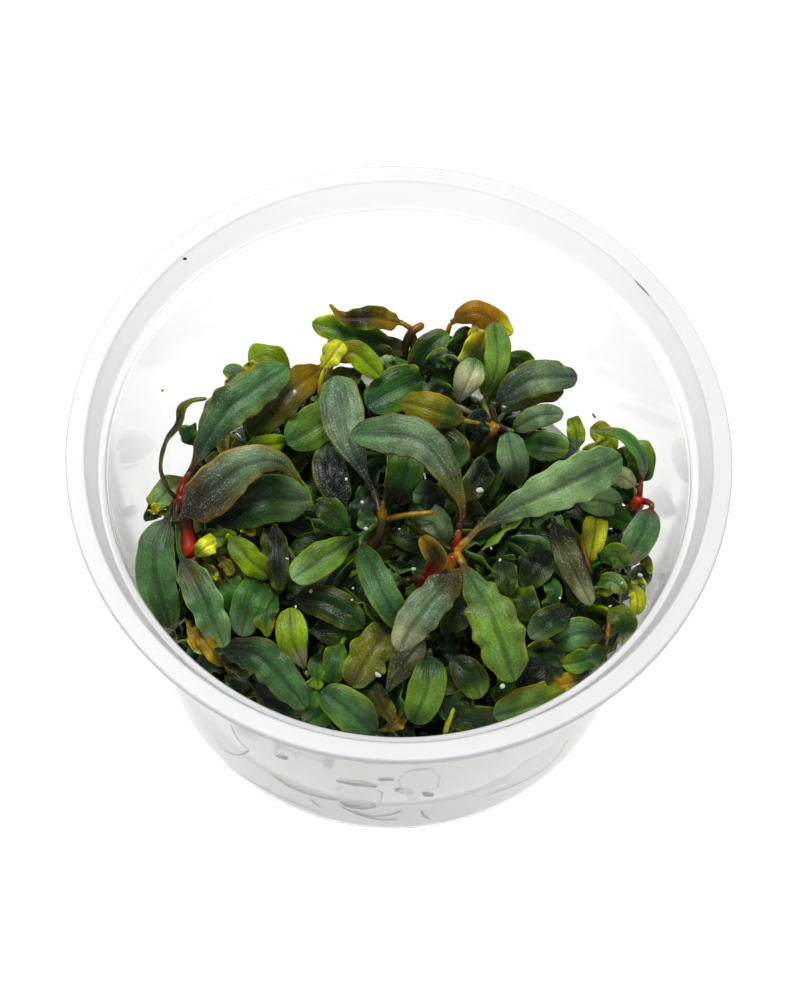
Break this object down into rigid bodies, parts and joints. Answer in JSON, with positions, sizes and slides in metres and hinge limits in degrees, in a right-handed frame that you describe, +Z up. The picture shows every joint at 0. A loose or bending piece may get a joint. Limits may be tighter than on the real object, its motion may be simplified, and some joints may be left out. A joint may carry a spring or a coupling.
{
  "type": "aquatic plant in a culture cup",
  "caption": "Creeping aquatic plants with leathery oval leaves, packed on culture gel in a clear tapered plastic cup with a flat rim.",
  "frame": {"origin": "centre of the cup's underside", "axes": "+Z up along the cup's axis, towards the mouth; -Y is the side the picture looks from"},
  "size_m": [0.11, 0.11, 0.066],
  "materials": {
    "clear_plastic": "clear, glossy, thin-walled moulding",
    "culture_gel": "translucent, moist",
    "leaf_teal": "satin leaf skin",
    "leaf_dark": "satin leaf skin",
    "leaf_green": "satin leaf skin",
    "leaf_lime": "satin leaf skin",
    "leaf_olive": "satin leaf skin",
    "leaf_bluish": "satin leaf skin with a pearly sheen",
    "leaf_bronze": "satin leaf skin",
    "leaf_rust": "satin leaf skin, withering",
    "rhizome": "smooth and fleshy",
    "small_leaves": "packed small leaves"
  },
  "bodies": {
    "root": {"cup": "clear_plastic", "gel": "culture_gel", "leaf_back_broad": "leaf_teal", "leaf_back_dark": "leaf_olive", "leaf_back_purple": "leaf_bronze", "leaf_centre_arch": "leaf_teal", "leaf_centre_blue": "leaf_bluish", "leaf_centre_dark": "leaf_dark", "leaf_centre_front": "leaf_green", "leaf_centre_olive": "leaf_olive", "leaf_centre_right": "leaf_teal", "leaf_centre_rolled": "leaf_rust", "leaf_centre_tail": "leaf_bronze", "leaf_front_dark": "leaf_dark", "leaf_front_green": "leaf_green", "leaf_front_left": "leaf_green", "leaf_front_lime": "leaf_lime", "leaf_front_olive": "leaf_olive", "leaf_front_right": "leaf_green", "leaf_front_teal": "leaf_teal", "leaf_left_arched": "leaf_olive", "leaf_left_bright": "leaf_lime", "leaf_left_hanging": "leaf_teal", "leaf_left_long": "leaf_teal", "leaf_left_low": "leaf_green", "leaf_left_shiny": "leaf_teal", "leaf_left_strip": "leaf_bluish", "leaf_left_under": "leaf_dark", "leaf_mid_bright": "leaf_green", "leaf_mid_dark": "leaf_dark", "leaf_mid_teal": "leaf_teal", "leaf_rear_bluegrey": "leaf_bluish", "leaf_rear_green": "leaf_dark", "leaf_rear_slate": "leaf_bluish", "leaf_rear_teal": "leaf_teal", "leaf_right_arched": "leaf_olive", "leaf_right_low": "leaf_teal", "leaf_right_lower": "leaf_green", "leaf_right_purple": "leaf_bronze", "leaf_right_streaked": "leaf_green", "leaf_right_teal": "leaf_teal", "leaf_right_yellow": "leaf_lime", "leaf_speckled": "leaf_bluish", "leaf_top_broad": "leaf_dark", "leaf_top_curled": "leaf_olive", "leaf_top_lilac": "leaf_bronze", "leaf_top_lime": "leaf_lime", "leaf_top_olive": "leaf_olive", "leaf_top_orange": "leaf_rust", "leaf_top_upright": "leaf_teal", "leaf_top_yellow": "leaf_lime", "leaf_top_yellowed": "leaf_olive", "rhizome_centre": "rhizome", "rhizome_left": "rhizome", "rhizome_mid": "rhizome", "rhizome_rear": "rhizome", "rhizome_right": "rhizome", "rhizome_top": "rhizome", "undergrowth": "small_leaves"}
  },
  "joints": []
}
